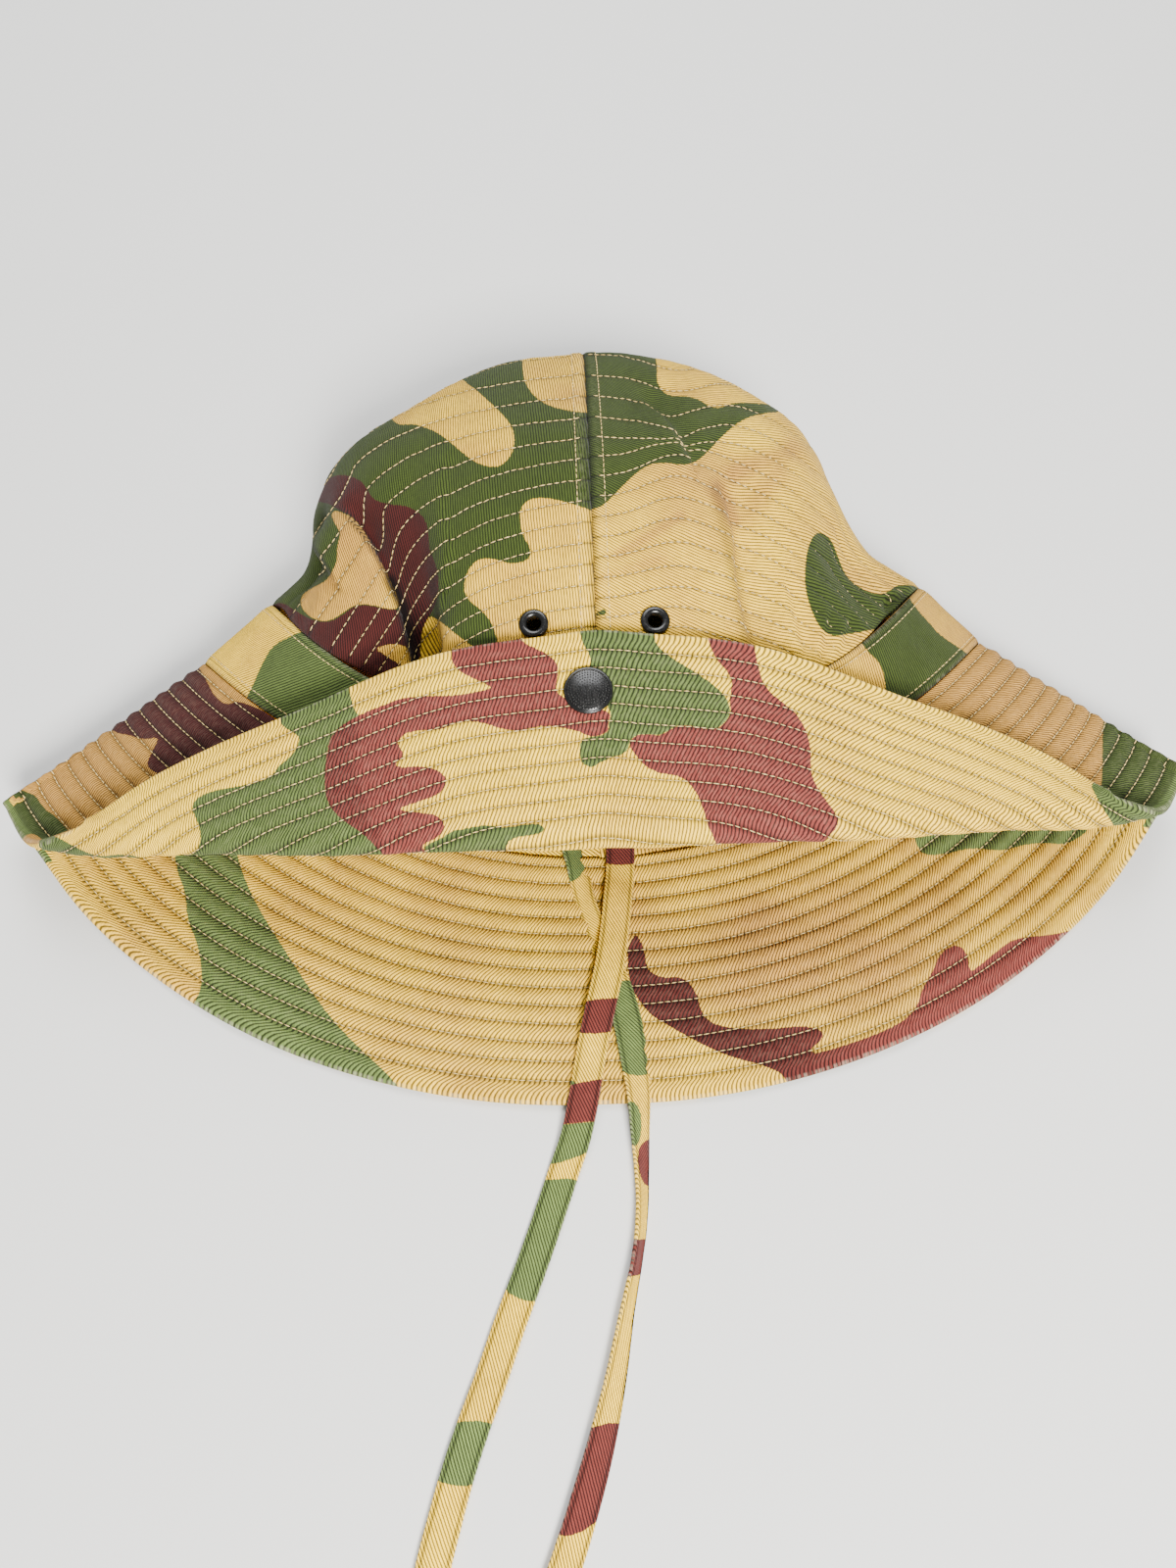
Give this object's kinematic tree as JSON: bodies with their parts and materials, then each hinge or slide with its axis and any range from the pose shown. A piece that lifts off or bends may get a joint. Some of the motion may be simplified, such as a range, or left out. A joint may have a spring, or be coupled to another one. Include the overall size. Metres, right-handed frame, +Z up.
{
  "type": "safari hat",
  "caption": "Soft cotton safari hat lying on its back, quilted brim turned up in front under a snap, with eyelets and flat neck ties.",
  "frame": {"origin": "on the ground under the middle of the hat without its ties", "axes": "+X to the viewer's right along the widest line of the brim, +Y towards the crown top, +Z up"},
  "size_m": [0.37, 0.3846, 0.0664],
  "materials": {
    "crown_left": "cotton twill with printed green, brick red and tan patches",
    "crown_right": "cotton twill with printed green and tan patches",
    "hat_band": "cotton twill with printed green and tan patches",
    "brim": "quilted cotton twill with printed green, brick red and tan patches",
    "snap_cap": "black lacquered metal",
    "snap_stud": "black lacquered metal",
    "eyelet_left": "black lacquered metal",
    "eyelet_right": "black lacquered metal",
    "tie_left": "folded cotton twill strip",
    "tie_right": "folded cotton twill strip"
  },
  "bodies": {
    "root": {"crown_left": "crown_left", "crown_right": "crown_right", "hat_band": "hat_band", "brim": "brim", "snap_cap": "snap_cap", "snap_stud": "snap_stud", "eyelet_left": "eyelet_left", "eyelet_right": "eyelet_right", "tie_left": "tie_left", "tie_right": "tie_right"}
  },
  "joints": []
}
